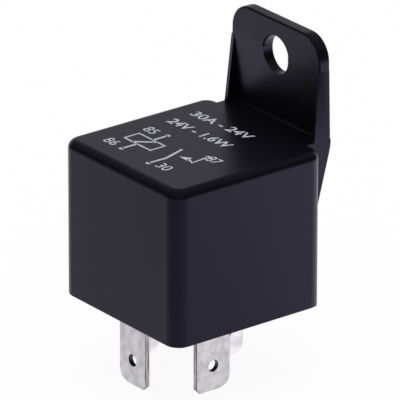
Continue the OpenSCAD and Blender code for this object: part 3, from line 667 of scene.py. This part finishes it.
# Print on the roof: strokes of the relay symbol, terminal numbers and plain ratings
marking = {
    "line": 0.46, "thick": 0.03, "dot": 0.42, "dotSides": 20, "bold": 0.016,
    "leads": [
        [(-5.05, -9.5), (-5.05, -6.6)], [(-4.8, -1.0), (-4.8, -3.8)],      # the coil's two ends
        [(1.9, -9.8), (2.0, -6.6), (0.75, -2.6)],                          # the moving contact
        [(5.5, -1.4), (5.8, -4.65), (4.3, -4.1)],                          # the fixed contact, up to its arrow
    ],
    "arrow": [(2.7, -4.65), (4.35, -3.45), (4.6, -4.7)],
    "coil": [
        [(-8.2, -6.6), (-1.85, -6.6), (-1.85, -3.8), (-8.2, -3.8), (-8.2, -6.6)],
        [(-6.2, -6.6), (-3.7, -3.8)],
    ],
    # Left, right, bottom and top of each number
    "numbers": {85: (-9.2, -6.8, -2.6, -0.7), 86: (-9.4, -6.9, -9.9, -8.0),
                30: (3.3, 5.8, -9.8, -7.9), 87: (5.8, 8.2, -2.4, -0.5)},
    # The same of each line, and the degrees by which the pad was askew
    "lines": {"ratingLine": ("30A - 24V", -9.6, 3.5, 6.7, 8.6, 3.0),
              "coilLine": ("24V - 1.6W", -9.5, 4.2, 2.2, 4.2, 2.0)},
}


def inkTree():
    tree, given, made = growthTree("ink strokes", {
        "Stroke Width": ("Float", None), "Thickness": ("Float", None), "Dot Radius": ("Float", None),
        "Material": ("Material", None)})
    pipe = given.outputs
    section = addNode(tree, "GeometryNodeCurvePrimitiveQuadrilateral", {
        "Width": pipe["Stroke Width"], "Height": pipe["Thickness"]})
    stroke = addNode(tree, "GeometryNodeCurveToMesh", {
        "Curve": pipe["Geometry"], "Profile Curve": section.outputs[0], "Fill Caps": True})
    start = addNode(tree, "GeometryNodeCurveEndpointSelection", {"Start Size": 1, "End Size": 0})
    dot = addNode(tree, "GeometryNodeMeshCylinder", {
        "Vertices": marking["dotSides"], "Radius": pipe["Dot Radius"], "Depth": pipe["Thickness"]})
    dots = addNode(tree, "GeometryNodeInstanceOnPoints", {
        "Points": pipe["Geometry"], "Selection": start.outputs[0], "Instance": dot.outputs[0]})
    both = addNode(tree, "GeometryNodeJoinGeometry")
    tree.links.new(stroke.outputs[0], both.inputs[0])
    tree.links.new(dots.outputs[0], both.inputs[0])
    solid = addNode(tree, "GeometryNodeRealizeInstances", {0: both.outputs[0]})
    painted = addNode(tree, "GeometryNodeSetMaterial", {"Geometry": solid.outputs[0], "Material": pipe["Material"]})
    tree.links.new(painted.outputs[0], made.inputs[0])
    return tree


inkStrokes = inkTree()


def printStrokes(name, paths, dotRadius):
    curve = bpy.data.curves.new(name, "CURVE")
    curve.dimensions = "3D"
    curve.twist_mode = "Z_UP"
    for path in paths:
        closed = path[0] == path[-1]
        points = path[:-1] if closed else path
        spline = curve.splines.new("POLY")
        spline.points.add(len(points) - 1)
        spline.use_cyclic_u = closed
        for point, (x, y) in zip(spline.points, points):
            point.co = (x * mm, y * mm, (housing["roofZ"] + marking["thick"] / 2) * mm, 1)
    seed = bpy.data.objects.new(name + " seed", curve)
    scene.collection.objects.link(seed)
    grow(seed, inkStrokes, {
        "Stroke Width": marking["line"] * mm, "Thickness": marking["thick"] * mm,
        "Dot Radius": dotRadius * mm, "Material": ink})
    finishPiece(plainMesh(seed, name), ink, "housing")


def printPatch(name, corners):
    bm = bmesh.new()
    foot = bm.faces.new([bm.verts.new((x * mm, y * mm, housing["roofZ"] * mm)) for x, y in corners])
    top = bmesh.ops.extrude_face_region(bm, geom=[foot])["geom"]
    bmesh.ops.translate(bm, verts=[v for v in top if isinstance(v, bmesh.types.BMVert)],
                        vec=(0, 0, marking["thick"] * mm))
    bmesh.ops.recalc_face_normals(bm, faces=bm.faces)
    mesh = bpy.data.meshes.new(name)
    bm.to_mesh(mesh)
    bm.free()
    finishPiece(addMesh(name, mesh), ink, "housing")


def printText(name, words, bold, left, right, bottom, top, askew=0.0):
    text = bpy.data.curves.new(name, "FONT")
    text.body = words
    text.extrude = marking["thick"] / 2
    text.offset = bold
    seed = bpy.data.objects.new(name + " seed", text)
    scene.collection.objects.link(seed)
    piece = plainMesh(seed, name)
    across = [v.co.x for v in piece.data.vertices]
    up = [v.co.y for v in piece.data.vertices]
    wide, tall = max(across) - min(across), max(up) - min(up)
    piece.data.transform(
        Matrix.Translation(Vector((left, bottom, housing["roofZ"] + marking["thick"] / 2)) * mm)
        @ Matrix.Rotation(math.radians(askew), 4, "Z")
        @ Matrix.Diagonal(((right - left) / wide * mm, (top - bottom) / tall * mm, mm, 1))
        @ Matrix.Translation((-min(across), -min(up), 0)))
    finishPiece(piece, ink, "housing")


printStrokes("symbolLeads", marking["leads"], marking["dot"])
printPatch("symbolArrow", marking["arrow"])
printStrokes("symbolCoil", marking["coil"], 0.0)
for number, place in marking["numbers"].items():
    printText(f"number{number}", str(number), 0.0, *place)
for name, (words, *place) in marking["lines"].items():
    printText(name, words, marking["bold"], *place)
print("print ready")
